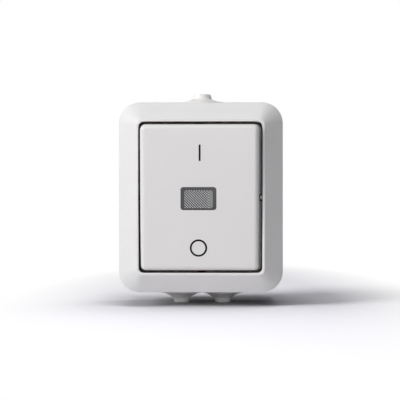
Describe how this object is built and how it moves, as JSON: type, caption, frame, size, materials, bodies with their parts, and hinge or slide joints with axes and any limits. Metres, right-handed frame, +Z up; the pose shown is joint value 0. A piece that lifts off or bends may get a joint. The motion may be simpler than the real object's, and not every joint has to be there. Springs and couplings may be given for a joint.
{
  "type": "weatherproof rocker switch",
  "caption": "Surface-mounted weatherproof rocker switch with bevelled frame, pilot-lamp window, on and off marks and soft cable entries above and below.",
  "frame": {"origin": "centre of the back face that lies on the wall", "axes": "+Z up, +Y into the wall, the rocker faces -Y, +X to the right as seen from the front"},
  "size_m": [0.066, 0.0527, 0.0872],
  "materials": {
    "base_plastic": "satin moulded thermoplastic, polar white",
    "cover_plastic": "satin moulded thermoplastic, polar white",
    "rocker_plastic": "satin moulded thermoplastic, polar white",
    "seal_rubber": "moulded soft rubber",
    "lens_clear": "clear moulded polycarbonate with fine prisms",
    "mark_black": "printed black",
    "actuator_plastic": "moulded plastic",
    "plunger_plastic": "moulded low-friction plastic",
    "spring_steel": "drawn spring steel",
    "insert_plastic": "moulded heat-proof plastic",
    "contact_copper": "stamped copper with a silver button",
    "bar_brass": "stamped brass",
    "slider_plastic": "moulded plastic",
    "board_laminate": "laminate board",
    "lamp_glass": "blown glass",
    "resistor_body": "lacquered ceramic",
    "lead_wire": "tinned wire",
    "nozzle_soft": "moulded soft thermoplastic rubber, polar white",
    "screw_zinc": "zinc-plated steel"
  },
  "bodies": {
    "housing": {"base_box": "base_plastic", "cover_frame": "cover_plastic", "rim_seal": "seal_rubber", "actuator_seal": "seal_rubber", "insert_base": "insert_plastic", "insert_cover": "insert_plastic", "common_bar_left": "bar_brass", "common_bar_right": "bar_brass", "switched_bar_left": "bar_brass", "switched_bar_right": "bar_brass", "clamp_spring_top_left": "spring_steel", "clamp_spring_top_right": "spring_steel", "clamp_spring_bottom_left": "spring_steel", "clamp_spring_bottom_right": "spring_steel", "release_spring_left": "spring_steel", "release_spring_right": "spring_steel", "lamp_board": "board_laminate", "lamp": "lamp_glass", "lamp_resistor": "resistor_body", "lamp_lead_left": "lead_wire", "lamp_lead_right": "lead_wire", "entry_nozzle_top": "nozzle_soft", "entry_nozzle_bottom_left": "nozzle_soft", "entry_nozzle_bottom_right": "nozzle_soft", "cover_screw_top": "screw_zinc", "cover_screw_bottom": "screw_zinc", "insert_screw_top": "screw_zinc", "insert_screw_bottom": "screw_zinc", "earth_block": "bar_brass", "earth_screw_left": "screw_zinc", "earth_screw_right": "screw_zinc"},
    "rocker": {"rocker_plate": "rocker_plastic", "window_lens": "lens_clear", "actuator": "actuator_plastic", "plunger_spring_left": "spring_steel", "plunger_spring_right": "spring_steel"},
    "plunger_left": {"plunger_left": "plunger_plastic"},
    "plunger_right": {"plunger_right": "plunger_plastic"},
    "contact_lever_left": {"contact_lever_left": "contact_copper"},
    "contact_lever_right": {"contact_lever_right": "contact_copper"},
    "release_slider_left": {"release_slider_left": "slider_plastic"},
    "release_slider_right": {"release_slider_right": "slider_plastic"}
  },
  "joints": [
    {"name": "rocker_hinge", "type": "hinge", "parent": "housing", "child": "rocker", "pos_m": [0, -0.0464, 0], "axis": [-1, 0, 0], "range_deg": [0, 8], "deforming": ["actuator_seal"]},
    {"name": "contact_lever_left_hinge", "type": "hinge", "parent": "housing", "child": "contact_lever_left", "pos_m": [-0.0085, -0.0216, 0], "axis": [-1, 0, 0], "range_deg": [-12, 0]},
    {"name": "contact_lever_right_hinge", "type": "hinge", "parent": "housing", "child": "contact_lever_right", "pos_m": [0.0085, -0.0216, 0], "axis": [-1, 0, 0], "range_deg": [-12, 0]},
    {"name": "plunger_left_slide", "type": "slide", "parent": "rocker", "child": "plunger_left", "axis": [0, -0.9976, -0.0698], "range_m": [0, 0.0008], "stiffness_N_per_m": 500, "springref_m": -0.004, "deforming": ["plunger_spring_left"]},
    {"name": "plunger_right_slide", "type": "slide", "parent": "rocker", "child": "plunger_right", "axis": [0, -0.9976, -0.0698], "range_m": [0, 0.0008], "stiffness_N_per_m": 500, "springref_m": -0.004, "deforming": ["plunger_spring_right"]},
    {"name": "release_slider_left_slide", "type": "slide", "parent": "housing", "child": "release_slider_left", "axis": [0, 1, 0], "range_m": [0, 0.0015], "stiffness_N_per_m": 600, "springref_m": -0.003, "deforming": ["release_spring_left", "clamp_spring_top_left", "clamp_spring_bottom_left"]},
    {"name": "release_slider_right_slide", "type": "slide", "parent": "housing", "child": "release_slider_right", "axis": [0, 1, 0], "range_m": [0, 0.0015], "stiffness_N_per_m": 600, "springref_m": -0.003, "deforming": ["release_spring_right", "clamp_spring_top_right", "clamp_spring_bottom_right"]}
  ],
  "couplings": [
    {"joint": "contact_lever_left_hinge", "follows": "rocker_hinge", "ratio": -1.5},
    {"joint": "contact_lever_right_hinge", "follows": "rocker_hinge", "ratio": -1.5}
  ]
}
